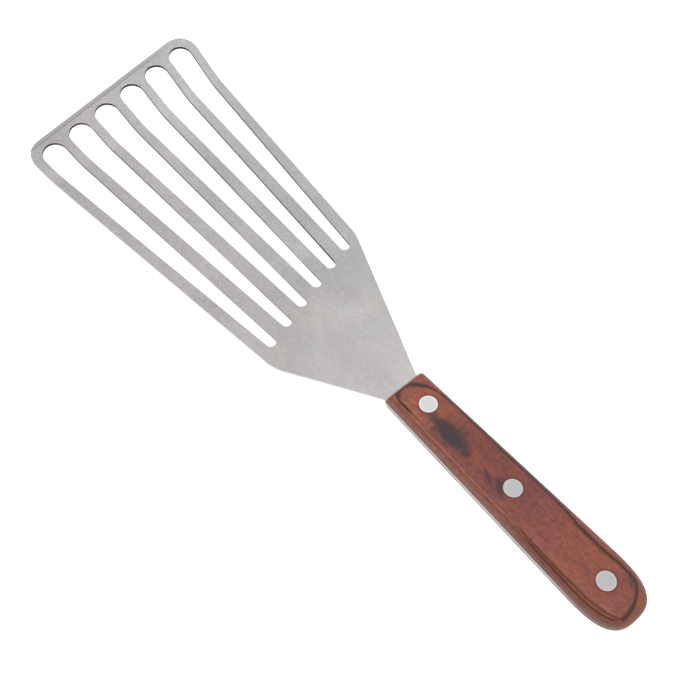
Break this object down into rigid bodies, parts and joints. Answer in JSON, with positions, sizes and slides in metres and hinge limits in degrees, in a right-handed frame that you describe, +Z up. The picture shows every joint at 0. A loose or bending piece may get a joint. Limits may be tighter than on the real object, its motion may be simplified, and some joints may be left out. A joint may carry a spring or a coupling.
{
  "type": "fish spatula",
  "caption": "Slotted, thin, flared and upcurled steel blade with a full tang between two riveted wooden handle scales.",
  "frame": {"origin": "on the table, under the middle of the outline; the part lies on its handle and on the belly of its blade", "axes": "+X from the handle to the front edge, +Y to the side whose shoulder is nearer the handle, +Z up"},
  "size_m": [0.296, 0.0874, 0.0126],
  "materials": {
    "blade_steel": "satin, fine scratches",
    "scale_wood": "satin, reddish brown laminated wood",
    "rivet_steel": "ground flush"
  },
  "bodies": {
    "root": {"blade": "blade_steel", "top_scale": "scale_wood", "bottom_scale": "scale_wood", "front_rivet_stud": "rivet_steel", "front_rivet_sleeve": "rivet_steel", "middle_rivet_stud": "rivet_steel", "middle_rivet_sleeve": "rivet_steel", "rear_rivet_stud": "rivet_steel", "rear_rivet_sleeve": "rivet_steel"}
  },
  "joints": []
}
